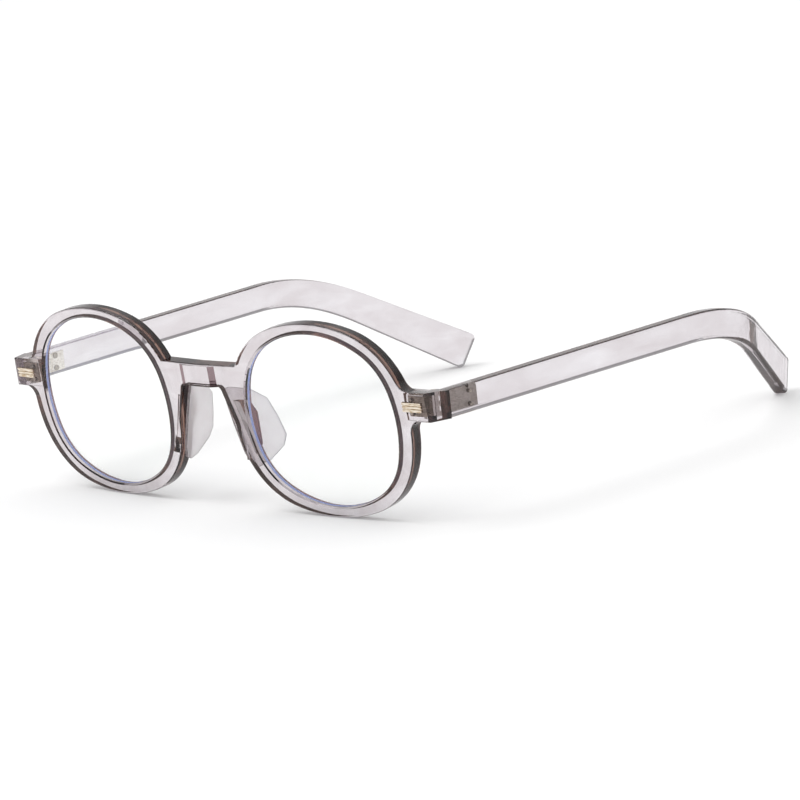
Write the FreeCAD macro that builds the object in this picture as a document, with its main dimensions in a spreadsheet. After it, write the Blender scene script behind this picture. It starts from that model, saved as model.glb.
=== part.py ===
import FreeCAD, Part
import math
import os
import Sketcher

# Round eyeglasses: a one-piece moulded front with two lenses held in a V groove, bonded nose
# pads, five-knuckle hinges on screws, and two temples with drop-down tips.
# Millimetres. +X is the wearer's left, -Y is the way the front looks, +Z is up.
# The glasses stand on the rims and the temple tips, so the floor is z = 0.

DRIVING_SIZES = {
    # front: the lens width plus the bridge is the lens spacing
    "lens_width": 46.0,
    "lens_height": 42.6,
    "bridge_width": 25.0,
    "wrap_angle": 3.4,
    "front_tilt": 5.9,
    "rim_depth": 3.2,
    "rim_side_width": 3.5,
    "rim_end_width": 1.75,
    "rim_edge_round": 0.45,
    "bevel_width": 1.3,
    "bevel_depth": 0.5,
    # radii of the outlines: the side and the corner follow the half height, the end the half width
    "opening_side_share": 1.3592,
    "opening_end_share": 1.2556,
    "opening_corner_share": 0.7524,
    "ring_side_share": 1.2148,
    "ring_end_share": 1.5094,
    "ring_corner_share": 0.8677,
    # the groove that holds the lens
    "groove_setback": 1.9,
    "groove_depth": 0.7,
    "groove_half_mouth": 0.66,
    "lens_clearance": 0.05,
    "lens_thickness": 1.8,
    "lens_curve_radius": 180.0,
    # bridge
    "bridge_top": 11.9,
    "bridge_height": 5.2,
    "bridge_facet_inset": 0.2,
    "bridge_facet_width": 1.9,
    "bridge_facet_step": 0.7,
    "bridge_facet_sink": 0.08,
    "bridge_edge_inset": 0.12,
    "bridge_flank_outset": 2.9,
    "bridge_flank_angle": 18.3,
    "bridge_flank_height": 10.0,
    "bridge_corner_radius": 1.5,
    # end piece
    "end_piece_root": 2.1,
    "end_piece_flare": 2.15,
    "end_piece_top": 8.5,
    "end_piece_bottom": 1.4,
    "end_piece_top_blend": 3.6,
    "end_piece_low_blend": 2.8,
    # the ribbed plaque let into the end piece
    "plaque_length": 5.4,
    "plaque_height": 2.2,
    "plaque_thickness": 0.8,
    "plaque_recess": 0.45,
    "plaque_inset": 1.15,
    "plaque_rise": 5.0,
    "plaque_groove": 0.28,
    "plaque_pin_radius": 0.35,
    "plaque_pin_length": 1.1,
    "seat_clearance": 0.03,
    # hinge
    "joint_setback": 6.9,
    "hinge_outset": 2.75,
    "hinge_rise": 4.9,
    "knuckle_radius": 1.3,
    "knuckle_height": 1.1,
    "knuckle_gap": 0.05,
    "screw_radius": 0.55,
    "screw_clearance": 0.03,
    "screw_head_radius": 0.95,
    "screw_head_height": 0.6,
    "screw_slot_width": 0.25,
    "screw_slot_depth": 0.3,
    "leaf_thickness": 0.9,
    "leaf_height": 4.6,
    "temple_leaf_length": 10.2,
    "temple_leaf_start": 0.4,
    "front_leaf_length": 3.9,
    "rivet_radius": 0.45,
    "rivet_head_radius": 0.7,
    "rivet_head_height": 0.15,
    "rivet_length": 2.6,
    "rivet_half_spacing": 1.5,
    "front_rivet_place": 2.7,
    "temple_rivet_place": 7.5,
    "barrel_gap": 0.25,
    "mitre_gap": 0.08,
    # temples
    "temple_thickness": 3.6,
    "temple_height_front": 6.5,
    "temple_height_bend": 6.8,
    "temple_height_tip": 9.4,
    "temple_bend_place": 98.0,
    "temple_bend_rise": 0.4,
    "temple_bend_reach": 17.0,
    "temple_bow_angle": 1.98,
    "temple_turn_in_angle": 28.2,
    "temple_drop_angle": 29.5,
    "temple_edge_round": 0.8,
    "temple_tip_round": 1.6,
    # nose pads
    "pad_outset": 0.8,
    "pad_setback": 2.5,
    "pad_drop": 3.0,
    "pad_splay_angle": 20.0,
    "pad_lean_angle": 14.0,
    "pad_thickness": 1.9,
    "pad_height": 18.2,
    "pad_depth": 11.4,
    "pad_low_edge": 10.5,
    "pad_front_edge": 1.2,
    "pad_round": 0.5,
    "pad_seat_thickness": 1.6,
    "pad_seat_depth": 5.0,
    "pad_seat_lead": 1.9,
    # one overrun serves every cut that has to pass right through
    "overrun": 2.0,
}

# Corner points of the nose pad, as shares of its depth and height from the front lower corner.
PAD_OUTLINE_SHARES = [
    (0.33, 0.00), (0.55, 0.08), (0.99, 0.30), (1.00, 0.42), (0.82, 0.70), (0.54, 0.91), (0.22, 1.00), (0.00, 0.97),
]
# Corner points of the moulded seat under the pad, as shares of its depth and of the pad's height.
SEAT_OUTLINE_SHARES = [
    (0.00, 0.12), (0.60, 0.14), (0.94, 0.30), (1.00, 0.70), (0.70, 0.88), (0.00, 0.92),
]

doc = FreeCAD.newDocument("round_eyeglasses")
sheet = doc.addObject("Spreadsheet::Sheet", "sizes")
for row, (name, value) in enumerate(DRIVING_SIZES.items(), start=1):
    sheet.set("A%d" % row, name)
    sheet.set("B%d" % row, repr(value))
    sheet.setAlias("B%d" % row, name)
doc.recompute()


class Size:
    """A size: its value now, and the formula of the sheet that the document keeps."""

    def __init__(self, value, formula):
        self.value = float(value)
        self.formula = formula

    @staticmethod
    def of(item):
        return item if isinstance(item, Size) else Size(item, repr(item))

    def combine(self, other, sign, value):
        return Size(value, "(%s %s %s)" % (self.formula, sign, Size.of(other).formula))

    def __add__(self, other):
        return self.combine(other, "+", self.value + Size.of(other).value)

    def __sub__(self, other):
        return self.combine(other, "-", self.value - Size.of(other).value)

    def __mul__(self, other):
        return self.combine(other, "*", self.value * Size.of(other).value)

    def __truediv__(self, other):
        return self.combine(other, "/", self.value / Size.of(other).value)

    def __neg__(self):
        return Size(-self.value, "(0 - %s)" % self.formula)


def sine(angle):
    return Size(math.sin(math.radians(angle.value)), "sin(%s * 1 deg)" % angle.formula)


def cosine(angle):
    return Size(math.cos(math.radians(angle.value)), "cos(%s * 1 deg)" % angle.formula)


def tangent(angle):
    return Size(math.tan(math.radians(angle.value)), "tan(%s * 1 deg)" % angle.formula)


def root(size):
    return Size(math.sqrt(size.value), "sqrt(%s)" % size.formula)


class Named:
    """Every driving size by its name, bound to its cell."""


dim = Named()
for name, value in DRIVING_SIZES.items():
    setattr(dim, name, Size(value, "sizes.%s" % name))
ZERO = Size(0, "0")
ONE = Size(1, "1")


def bind(item, prop, size):
    item.setExpression(prop, Size.of(size).formula)


def place(item, x=ZERO, y=ZERO, z=ZERO, yaw=ZERO, pitch=ZERO, roll=ZERO):
    """Puts an item at a point, turned about Z, then Y, then X."""
    spot = [Size.of(size).formula for size in (x, y, z)]
    turn = [Size.of(size).formula for size in (yaw, pitch, roll)]
    formula = "placement(vector(%s); rotation(%s))" % ("; ".join(spot), "; ".join(turn))
    item.setExpression("Placement", formula)


def new_body(name):
    return doc.addObject("PartDesign::Body", name)


def plane_of(body, role):
    return [feature for feature in body.Origin.OriginFeatures if feature.Role == role][0]


def new_sketch(body, name, role, lift=ZERO):
    """A sketch on one of the body's own origin planes, lifted along the plane's normal."""
    sketch = body.newObject("Sketcher::SketchObject", name)
    sketch.AttachmentSupport = [(plane_of(body, role), "")]
    sketch.MapMode = "FlatFace"
    bind(sketch, "AttachmentOffset.Base.z", lift)
    return sketch


def pin_point(sketch, geometry, end, x, y):
    """Fixes a point of the sketch at two sizes from the sketch's origin."""
    for kind, size in (("DistanceX", x), ("DistanceY", y)):
        number = sketch.addConstraint(Sketcher.Constraint(kind, -1, 1, geometry, end, size.value))
        sketch.setExpression("Constraints[%d]" % number, size.formula)


def draw_outline(sketch, corners):
    """A closed outline. A corner is (x, y), or (x, y, radius) where an arc leads to the next
    corner, with a positive radius for an arc that bulges to the right of its way."""
    corners = [[Size.of(number) for number in corner] for corner in corners]
    ends = []
    for corner, following in zip(corners, corners[1:] + corners[:1]):
        first = FreeCAD.Vector(corner[0].value, corner[1].value, 0)
        last = FreeCAD.Vector(following[0].value, following[1].value, 0)
        if len(corner) == 2:
            number = sketch.addGeometry(Part.LineSegment(first, last))
            ends.append((number, 1, 2))
            continue
        radius = corner[2]
        chord = last - first
        rise = math.sqrt(radius.value ** 2 - (chord.Length / 2) ** 2)
        side = 1 if radius.value > 0 else -1
        left = FreeCAD.Vector(-chord.y, chord.x, 0).normalize()
        centre = (first + last) * 0.5 + left * (side * rise)
        turns = [math.atan2(point.y - centre.y, point.x - centre.x) for point in (first, last)]
        if side < 0:
            turns.reverse()
        if turns[1] < turns[0]:
            turns[1] += 2 * math.pi
        circle = Part.Circle(centre, FreeCAD.Vector(0, 0, 1), abs(radius.value))
        number = sketch.addGeometry(Part.ArcOfCircle(circle, turns[0], turns[1]))
        ends.append((number, 1, 2) if side > 0 else (number, 2, 1))
        row = sketch.addConstraint(Sketcher.Constraint("Radius", number, abs(radius.value)))
        sketch.setExpression("Constraints[%d]" % row, "abs(%s)" % radius.formula)
    for item, following in zip(ends, ends[1:] + ends[:1]):
        sketch.addConstraint(Sketcher.Constraint("Coincident", item[0], item[2], following[0], following[1]))
    for item, corner in zip(ends, corners):
        pin_point(sketch, item[0], item[1], corner[0], corner[1])


def draw_circle(sketch, x, y, radius):
    x, y, radius = Size.of(x), Size.of(y), Size.of(radius)
    centre = FreeCAD.Vector(x.value, y.value, 0)
    ring = sketch.addGeometry(Part.Circle(centre, FreeCAD.Vector(0, 0, 1), radius.value))
    pin_point(sketch, ring, 3, x, y)
    number = sketch.addConstraint(Sketcher.Constraint("Radius", ring, radius.value))
    sketch.setExpression("Constraints[%d]" % number, radius.formula)


def corner_centre(half_width, half_height, side, end, corner):
    """Centre of the corner arc that touches the side arc and the end arc from inside."""
    side_x, end_y = half_width - side, half_height - end
    gap = math.hypot(side_x, end_y)
    reach_side, reach_end = side - corner, end - corner
    along = (reach_side ** 2 - reach_end ** 2 + gap ** 2) / (2 * gap)
    across = math.sqrt(reach_side ** 2 - along ** 2)
    to_end = (-side_x / gap, end_y / gap)
    x = side_x + along * to_end[0] - across * to_end[1]
    y = along * to_end[1] + across * to_end[0]
    return x, y


def draw_oval(sketch, width, height, side, end, corner):
    """A rounded outline of eight tangent arcs: two sides, two ends and four corners."""
    cx, cy = corner_centre(width.value, height.value, side.value, end.value, corner.value)
    # the tangent points lie on the lines through the centres of two touching arcs
    side_turn = math.atan2(cy, cx - (width.value - side.value))
    end_turn = math.atan2(cy - (height.value - end.value), cx)
    quarter = math.pi / 2
    arcs = [
        (width.value - side.value, 0.0, side, -side_turn, side_turn),
        (cx, cy, corner, side_turn, end_turn),
        (0.0, height.value - end.value, end, end_turn, 2 * quarter - end_turn),
        (-cx, cy, corner, 2 * quarter - end_turn, 2 * quarter - side_turn),
        (side.value - width.value, 0.0, side, 2 * quarter - side_turn, 2 * quarter + side_turn),
        (-cx, -cy, corner, 2 * quarter + side_turn, 2 * quarter + end_turn),
        (0.0, end.value - height.value, end, 2 * quarter + end_turn, 4 * quarter - end_turn),
        (cx, -cy, corner, 4 * quarter - end_turn, 4 * quarter - side_turn),
    ]
    numbers = []
    for x, y, radius, start, finish in arcs:
        circle = Part.Circle(FreeCAD.Vector(x, y, 0), FreeCAD.Vector(0, 0, 1), radius.value)
        numbers.append(sketch.addGeometry(Part.ArcOfCircle(circle, start, finish)))
    for arc, following in zip(numbers, numbers[1:] + numbers[:1]):
        sketch.addConstraint(Sketcher.Constraint("Tangent", arc, 2, following, 1))
    for arc, (x, y, radius, start, finish) in zip(numbers, arcs):
        row = sketch.addConstraint(Sketcher.Constraint("Radius", arc, radius.value))
        sketch.setExpression("Constraints[%d]" % row, radius.formula)
    pin_point(sketch, numbers[0], 3, width - side, ZERO)
    pin_point(sketch, numbers[2], 3, ZERO, height - end)
    pin_point(sketch, numbers[4], 3, side - width, ZERO)
    pin_point(sketch, numbers[6], 3, ZERO, end - height)


def pad(body, name, sketch, length, reverse=False, both_ways=False):
    feature = body.newObject("PartDesign::Pad", name)
    feature.Profile = sketch
    bind(feature, "Length", length)
    feature.Reversed = reverse
    feature.Midplane = both_ways
    doc.recompute()
    return feature


def pocket(body, name, sketch, length, reverse=False, both_ways=False):
    before = body.Tip.Shape.Volume
    feature = body.newObject("PartDesign::Pocket", name)
    feature.Profile = sketch
    bind(feature, "Length", length)
    feature.Reversed = reverse
    feature.Midplane = both_ways
    doc.recompute()
    if not feature.Shape.Volume < before:
        raise RuntimeError("%s removes nothing" % name)
    return feature


def dress(body, kind, name, radius, chosen):
    """Rounds or bevels the edges that the test picks; the tests read the body's own frame."""
    base = body.Tip
    edges = ["Edge%d" % number for number, edge in enumerate(base.Shape.Edges, start=1) if chosen(edge)]
    if not edges:
        raise RuntimeError("%s finds no edge" % name)
    feature = body.newObject("PartDesign::%s" % kind, name)
    feature.Base = (base, edges)
    bind(feature, "Radius" if kind == "Fillet" else "Size", radius)
    doc.recompute()
    return feature


# how closely two places must agree to count as one
NEAR = 0.01

# Places worked out from the driving sizes
half_spacing = (dim.lens_width + dim.bridge_width) / 2
opening_half_width = dim.lens_width / 2 - dim.groove_depth
opening_half_height = dim.lens_height / 2 - dim.groove_depth
opening_side = opening_half_height * dim.opening_side_share
opening_end = opening_half_width * dim.opening_end_share
opening_corner = opening_half_height * dim.opening_corner_share
rim_half_width = opening_half_width + dim.groove_depth + dim.rim_side_width
rim_half_height = opening_half_height + dim.groove_depth + dim.rim_end_width
web_low = dim.bridge_top - dim.bridge_height
nasal_side_x = half_spacing - rim_half_width
flank_top_x = nasal_side_x - dim.bridge_flank_outset
facet_end_x = flank_top_x - dim.bridge_facet_inset
panel_half = facet_end_x - dim.bridge_facet_width
facet_end_y = (facet_end_x - half_spacing) * tangent(dim.wrap_angle) + dim.bridge_facet_sink
panel_face_y = facet_end_y - dim.bridge_facet_step
pivot_x = half_spacing + rim_half_width + dim.hinge_outset
pivot_y = dim.joint_setback
temple_inner_x = pivot_x + dim.knuckle_radius + dim.barrel_gap
temple_outer_x = temple_inner_x + dim.temple_thickness
leaf_seat_y = pivot_y - dim.knuckle_radius - dim.barrel_gap
leaf_near = dim.knuckle_radius + dim.knuckle_gap
leaf_far = leaf_near + dim.leaf_thickness
knuckle_step = dim.knuckle_height + dim.knuckle_gap
barrel_half = (dim.knuckle_height * 5 + dim.knuckle_gap * 4) / 2
barrel_top = dim.hinge_rise + barrel_half
barrel_bottom = dim.hinge_rise - barrel_half


# The tip of the temple: where it ends, so that it stands on the same floor as the rims
edge_round = dim.rim_edge_round
lens_rise = ((rim_half_height - edge_round) * cosine(dim.front_tilt)
             - edge_round * sine(dim.front_tilt) + edge_round)
drop_level = cosine(dim.temple_drop_angle)
drop_fall = sine(dim.temple_drop_angle)
tip_round_loss = dim.temple_tip_round * (drop_level + drop_fall - 1)
tip_z = dim.temple_height_tip / 2 * drop_level - tip_round_loss - lens_rise
bend_z = dim.hinge_rise + dim.temple_bend_rise
bend_y = dim.temple_bend_place
tip_length = (bend_z - tip_z) / drop_fall
tip_way = (
    -(drop_level * sine(dim.temple_turn_in_angle)), drop_level * cosine(dim.temple_turn_in_angle), -drop_fall,
)
temple_middle_x = dim.knuckle_radius + dim.barrel_gap + dim.temple_thickness / 2
tip_middle_x = temple_middle_x + tip_way[0] * tip_length
tip_middle_y = bend_y + tip_way[1] * tip_length
tip_turn = dim.temple_turn_in_angle - dim.temple_bow_angle
tip_corner_reach = ((dim.temple_thickness / 2 - dim.temple_tip_round) * sine(tip_turn)
                    + (dim.temple_height_tip / 2 - dim.temple_tip_round) * cosine(tip_turn) * drop_fall
                    + dim.temple_tip_round * (ONE - cosine(tip_turn) * drop_level))
rear_reach = (pivot_y + tip_middle_y * cosine(dim.temple_bow_angle)
              - tip_middle_x * sine(dim.temple_bow_angle) + tip_corner_reach)
panel_top = dim.bridge_top - dim.bridge_edge_inset
front_reach = panel_top * sine(dim.front_tilt) - panel_face_y * cosine(dim.front_tilt)
front_y = (front_reach - rear_reach) / 2


def on_front(item, x, y, z, yaw=ZERO, pitch=ZERO, roll=ZERO):
    """Places a finished piece: x, y and z start from the middle of the front plane."""
    place(item, x, y + front_y, z + lens_rise, yaw, pitch, roll)


def in_rim_frame(item, placed=place):
    """The rim's frame: centred on the lens, tilted and wrapped."""
    placed(item, half_spacing, ZERO, ZERO, yaw=dim.wrap_angle, roll=dim.front_tilt)


def in_pad_frame(item, placed=place):
    """The nose pad's frame: its face to the nose, splayed and leaned."""
    placed(item, nasal_side_x - dim.pad_outset, dim.pad_setback, -dim.pad_drop,
           yaw=-dim.pad_splay_angle, pitch=-dim.pad_lean_angle)


def at_pivot(item, yaw=ZERO):
    """The hinge's frame: its axis is Z."""
    on_front(item, pivot_x, pivot_y, ZERO, yaw=yaw)


def boolean(body, name, tool, kind):
    """Joins (0), cuts (1) or keeps what is common (2) with another body."""
    before = body.Tip.Shape.Volume
    feature = body.newObject("PartDesign::Boolean", name)
    feature.setObjects([tool])
    feature.Type = kind
    doc.recompute()
    if abs(feature.Shape.Volume - before) < NEAR:
        raise RuntimeError("%s changes nothing" % name)
    return feature


def box_outline(x_low, x_high, y_low, y_high):
    return [(x_low, y_low), (x_high, y_low), (x_high, y_high), (x_low, y_high)]


# The rim ring and the bridge web, one flat plate in the rim's own frame
rim_blank = new_body("rim_blank")
in_rim_frame(rim_blank)
ring_sketch = new_sketch(rim_blank, "ring_outline", "XZ_Plane")
draw_oval(
    ring_sketch, rim_half_width, rim_half_height, rim_half_height * dim.ring_side_share,
    rim_half_width * dim.ring_end_share, rim_half_height * dim.ring_corner_share,
)
pad(rim_blank, "ring", ring_sketch, dim.rim_depth, reverse=True)
web_near = -(half_spacing + dim.overrun)
web_inside_x = dim.rim_side_width - rim_half_width
# the web's corner is rounded where its low edge turns into the slanted flank beside the nose
flank_x = flank_top_x - half_spacing
corner_reach = dim.bridge_corner_radius * (ONE - sine(dim.bridge_flank_angle)) / cosine(dim.bridge_flank_angle)
corner_end_x = flank_x + corner_reach * sine(dim.bridge_flank_angle)
corner_end_y = web_low - corner_reach * cosine(dim.bridge_flank_angle)
flank_foot_x = flank_x + dim.bridge_flank_height * tangent(dim.bridge_flank_angle)
flank_foot_y = web_low - dim.bridge_flank_height
web_sketch = new_sketch(rim_blank, "bridge_web_outline", "XZ_Plane")
draw_outline(web_sketch, [
    (web_near, web_low),
    (flank_x - corner_reach, web_low, -dim.bridge_corner_radius),
    (corner_end_x, corner_end_y),
    (flank_foot_x, flank_foot_y),
    (web_inside_x, flank_foot_y),
    (web_inside_x, dim.bridge_top),
    (web_near, dim.bridge_top),
])
pad(rim_blank, "bridge_web", web_sketch, dim.rim_depth, reverse=True)

# Everything in front of the rim's front plane
front_waste = new_body("front_waste")
in_rim_frame(front_waste)
waste_sketch = new_sketch(front_waste, "front_waste_outline", "XZ_Plane")
draw_outline(waste_sketch, box_outline(ZERO, half_spacing + half_spacing, -rim_half_height, rim_half_height))
pad(front_waste, "front_waste_pad", waste_sketch, half_spacing)

# The end piece block, its flared side and the step behind it for the hinge
front_half = new_body("front_half")
block_root_x = half_spacing + rim_half_width - dim.end_piece_root
block_sketch = new_sketch(front_half, "end_block_outline", "YZ_Plane", block_root_x)
temple_half_front = dim.temple_height_front / 2
draw_outline(block_sketch, [
    (-dim.rim_depth, dim.end_piece_bottom),
    (pivot_y, dim.hinge_rise - temple_half_front),
    (pivot_y, dim.hinge_rise + temple_half_front),
    (-dim.rim_depth, dim.end_piece_top),
])
pad(front_half, "end_block", block_sketch, temple_outer_x - block_root_x)
flare_sketch = new_sketch(front_half, "flare_outline", "XY_Plane")
draw_outline(flare_sketch, [
    (pivot_x + dim.end_piece_flare, ZERO),
    (pivot_x + dim.end_piece_flare, -half_spacing),
    (temple_outer_x + dim.overrun, -half_spacing),
    (temple_outer_x + dim.overrun, pivot_y),
    (temple_outer_x, pivot_y),
])
pocket(front_half, "flare", flare_sketch, half_spacing, both_ways=True)
step_sketch = new_sketch(front_half, "step_outline", "XY_Plane")
draw_outline(step_sketch, box_outline(
    block_root_x - dim.overrun, temple_inner_x, leaf_seat_y, pivot_y + dim.overrun,
))
pocket(front_half, "step", step_sketch, half_spacing, both_ways=True)
boolean(front_half, "front_plane", front_waste, 1)
boolean(front_half, "ring_joined", rim_blank, 0)

rim_pose = rim_blank.Placement.inverse()


def rim_points(edge):
    """The ends and the middle of an edge, read in the rim's own frame."""
    reach = edge.LastParameter - edge.FirstParameter
    return [rim_pose.multVec(edge.valueAt(edge.FirstParameter + reach * share)) for share in (0, 0.5, 1)]


def joins_end_piece(level):
    """Picks the edge across the ring's outer wall where the end piece leaves it at this height."""
    def chosen(edge):
        first, middle, last = rim_points(edge)
        return (max(first.y, last.y) < dim.rim_depth.value + NEAR
                and abs(first.y - last.y) > NEAR and abs(first.z - last.z) > NEAR
                and abs(middle.z - level.value) < dim.rim_end_width.value / 2
                and abs(middle.x - rim_half_width.value) < dim.rim_side_width.value)
    return chosen


def on_front_outline(edge):
    """Picks the outline of the front plane, but not where it meets the mirror plane."""
    points = rim_points(edge)
    ends = [edge.valueAt(edge.FirstParameter).x, edge.valueAt(edge.LastParameter).x]
    return all(abs(point.y) < NEAR for point in points) and max(ends) > NEAR


dress(front_half, "Fillet", "end_piece_top_fillet", dim.end_piece_top_blend, joins_end_piece(dim.end_piece_top))
dress(front_half, "Fillet", "end_piece_low_fillet", dim.end_piece_low_blend, joins_end_piece(dim.end_piece_bottom))
middle_sketch = new_sketch(front_half, "middle_outline", "YZ_Plane")
draw_outline(middle_sketch, box_outline(-half_spacing, half_spacing, -half_spacing, half_spacing))
pocket(front_half, "middle", middle_sketch, half_spacing)
dress(front_half, "Fillet", "front_edge_round", dim.rim_edge_round, on_front_outline)

# The proud middle of the bridge, with a slanted facet on each side
bridge_panel = new_body("bridge_panel")
place(bridge_panel, ZERO, ZERO, ZERO, roll=dim.front_tilt)
panel_sketch = new_sketch(bridge_panel, "panel_outline", "XY_Plane", web_low + dim.bridge_edge_inset)
panel_back_y = dim.rim_depth / 2 - half_spacing * tangent(dim.wrap_angle)
draw_outline(panel_sketch, [
    (ZERO, panel_face_y),
    (panel_half, panel_face_y),
    (facet_end_x, facet_end_y),
    (facet_end_x, panel_back_y),
    (ZERO, panel_back_y),
])
pad(bridge_panel, "panel", panel_sketch, dim.bridge_height - dim.bridge_edge_inset * 2)
boolean(front_half, "panel_joined", bridge_panel, 0)


# The moulded seat that carries the pad behind the rim
pad_seat = new_body("pad_seat")
in_pad_frame(pad_seat)
seat_sketch = new_sketch(pad_seat, "seat_outline", "YZ_Plane", dim.pad_thickness)
draw_outline(seat_sketch, [
    (dim.pad_seat_depth * along - dim.pad_seat_lead, dim.pad_height * up - dim.pad_low_edge)
    for along, up in SEAT_OUTLINE_SHARES
])
pad(pad_seat, "seat", seat_sketch, dim.pad_seat_thickness)
boolean(front_half, "seat_joined", pad_seat, 0)

# The lens opening with its front bevel and the V groove for the lens
opening_cutter = new_body("opening_cutter")
in_rim_frame(opening_cutter)


def opening_section(body, name, depth, growth):
    sketch = new_sketch(body, name, "XZ_Plane", -depth)
    draw_oval(
        sketch, opening_half_width + growth, opening_half_height + growth,
        opening_side + growth, opening_end + growth, opening_corner + growth,
    )
    return sketch


def loft(body, name, sections):
    """Straight walls from one section to the next."""
    feature = body.newObject("PartDesign::AdditiveLoft", name)
    feature.Profile = sections[0]
    feature.Sections = sections[1:]
    feature.Ruled = True
    doc.recompute()
    return feature


through_sketch = opening_section(opening_cutter, "through_outline", ZERO, ZERO)
pad(opening_cutter, "through", through_sketch, dim.rim_depth * 4, both_ways=True)
bevel = [
    opening_section(opening_cutter, "bevel_foot", dim.bevel_depth, ZERO),
    opening_section(opening_cutter, "bevel_mouth", -dim.bevel_depth, dim.bevel_width * 2),
]
loft(opening_cutter, "bevel", bevel)
groove = [
    opening_section(opening_cutter, "groove_front", dim.groove_setback - dim.groove_half_mouth, ZERO),
    opening_section(opening_cutter, "groove_floor", dim.groove_setback, dim.groove_depth),
    opening_section(opening_cutter, "groove_back", dim.groove_setback + dim.groove_half_mouth, ZERO),
]
loft(opening_cutter, "groove", groove)
boolean(front_half, "opening", opening_cutter, 1)

# The seat of the ribbed plaque in the end piece
plaque_seat = new_body("plaque_seat")
in_rim_frame(plaque_seat)
plaque_middle_x = rim_half_width + dim.hinge_outset - dim.plaque_inset
plaque_low_x = plaque_middle_x - dim.plaque_length / 2
plaque_high_x = plaque_middle_x + dim.plaque_length / 2
plaque_low_z = dim.plaque_rise - dim.plaque_height / 2
plaque_high_z = dim.plaque_rise + dim.plaque_height / 2
pin_low_x = plaque_low_x + dim.plaque_length / 5
pin_high_x = plaque_high_x - dim.plaque_length / 5
recess_sketch = new_sketch(plaque_seat, "plaque_recess_outline", "XZ_Plane", dim.overrun)
draw_outline(recess_sketch, box_outline(
    plaque_low_x - dim.seat_clearance, plaque_high_x + dim.seat_clearance,
    plaque_low_z - dim.seat_clearance, plaque_high_z + dim.seat_clearance,
))
pad(plaque_seat, "plaque_recess", recess_sketch, dim.overrun + dim.plaque_recess, reverse=True)
socket_sketch = new_sketch(plaque_seat, "plaque_sockets_outline", "XZ_Plane", dim.overrun)
for pin_x in (pin_low_x, pin_high_x):
    draw_circle(socket_sketch, pin_x, dim.plaque_rise, dim.plaque_pin_radius + dim.seat_clearance)
socket_reach = dim.overrun + dim.plaque_recess + dim.plaque_pin_length + dim.seat_clearance
pad(plaque_seat, "plaque_sockets", socket_sketch, socket_reach, reverse=True)
boolean(front_half, "plaque_seat_cut", plaque_seat, 1)

# The seat of the front hinge leaf and its two rivet holes
leaf_half = dim.leaf_height / 2
leaf_low = dim.hinge_rise - leaf_half
leaf_high = dim.hinge_rise + leaf_half
leaf_seat_sketch = new_sketch(front_half, "front_leaf_seat_outline", "XZ_Plane", -leaf_seat_y)
draw_outline(leaf_seat_sketch, box_outline(
    pivot_x - dim.front_leaf_length - dim.seat_clearance, pivot_x + dim.knuckle_radius + dim.seat_clearance,
    leaf_low - dim.seat_clearance, leaf_high + dim.seat_clearance,
))
pocket(front_half, "front_leaf_seat", leaf_seat_sketch, leaf_far - dim.knuckle_radius - dim.barrel_gap, reverse=True)
front_hole_sketch = new_sketch(front_half, "front_rivet_holes_outline", "XZ_Plane", -leaf_seat_y)
for side in (-dim.rivet_half_spacing, dim.rivet_half_spacing):
    draw_circle(
        front_hole_sketch, pivot_x - dim.front_rivet_place, dim.hinge_rise + side,
        dim.rivet_radius + dim.seat_clearance,
    )
rivet_hole_depth = dim.rivet_length - dim.barrel_gap + dim.knuckle_gap + dim.seat_clearance
pocket(front_half, "front_rivet_holes", front_hole_sketch, rivet_hole_depth, reverse=True)

# Lens: a plate with curved faces and a ridge round its edge
lens = new_body("lens_left")
in_rim_frame(lens, on_front)
lens_radius = dim.lens_curve_radius
lens_blank_radius = dim.lens_width / 2 + dim.overrun
edge_sagitta = lens_radius - root(lens_radius * lens_radius - dim.lens_width * dim.lens_width / 4)
blank_chord = root(lens_radius * lens_radius - lens_blank_radius * lens_blank_radius)
crown_y = dim.groove_setback - dim.lens_thickness / 2 - edge_sagitta
hollow_y = crown_y + dim.lens_thickness
edge_sketch = opening_section(lens, "lens_edge_outline", ZERO, -dim.lens_clearance)
pad(lens, "lens_plate", edge_sketch, dim.rim_depth * 4, both_ways=True)


def turn_away(body, name, centre_y, corners):
    """Removes what the outline sweeps when it turns round the upright line through its centre."""
    before = body.Tip.Shape.Volume
    sketch = new_sketch(body, name + "_outline", "YZ_Plane")
    bind(sketch, "AttachmentOffset.Base.x", centre_y)
    draw_outline(sketch, corners)
    feature = body.newObject("PartDesign::Groove", name)
    feature.Profile = sketch
    feature.ReferenceAxis = (sketch, ["V_Axis"])
    feature.Angle = 360
    doc.recompute()
    if not feature.Shape.Volume < before:
        raise RuntimeError("%s removes nothing" % name)


blank_outside = lens_radius + dim.rim_depth * 4
turn_away(lens, "lens_front", crown_y + lens_radius, [
    (-blank_outside, -lens_blank_radius),
    (-blank_chord, -lens_blank_radius, -lens_radius),
    (-blank_chord, lens_blank_radius),
    (-blank_outside, lens_blank_radius),
])
turn_away(lens, "lens_back", hollow_y + lens_radius, [
    (ZERO, -lens_blank_radius),
    (ZERO, lens_blank_radius),
    (-blank_chord, lens_blank_radius, lens_radius),
    (-blank_chord, -lens_blank_radius),
])
# the ridge is drawn in the lens's own frame
lens_ridge = new_body("lens_ridge")
ridge_half = dim.groove_half_mouth - dim.lens_clearance
ridge = [
    opening_section(lens_ridge, "ridge_front", dim.groove_setback - ridge_half, -dim.lens_clearance),
    opening_section(lens_ridge, "ridge_crest", dim.groove_setback, dim.groove_depth - dim.lens_clearance),
    opening_section(lens_ridge, "ridge_back", dim.groove_setback + ridge_half, -dim.lens_clearance),
]
loft(lens_ridge, "ridge", ridge)
ridge_root = opening_section(lens_ridge, "ridge_root_outline", ZERO, -dim.groove_depth / 2)
pocket(lens_ridge, "ridge_hollow", ridge_root, dim.rim_depth * 4, both_ways=True)
boolean(lens, "ridge_joined", lens_ridge, 0)

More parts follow.
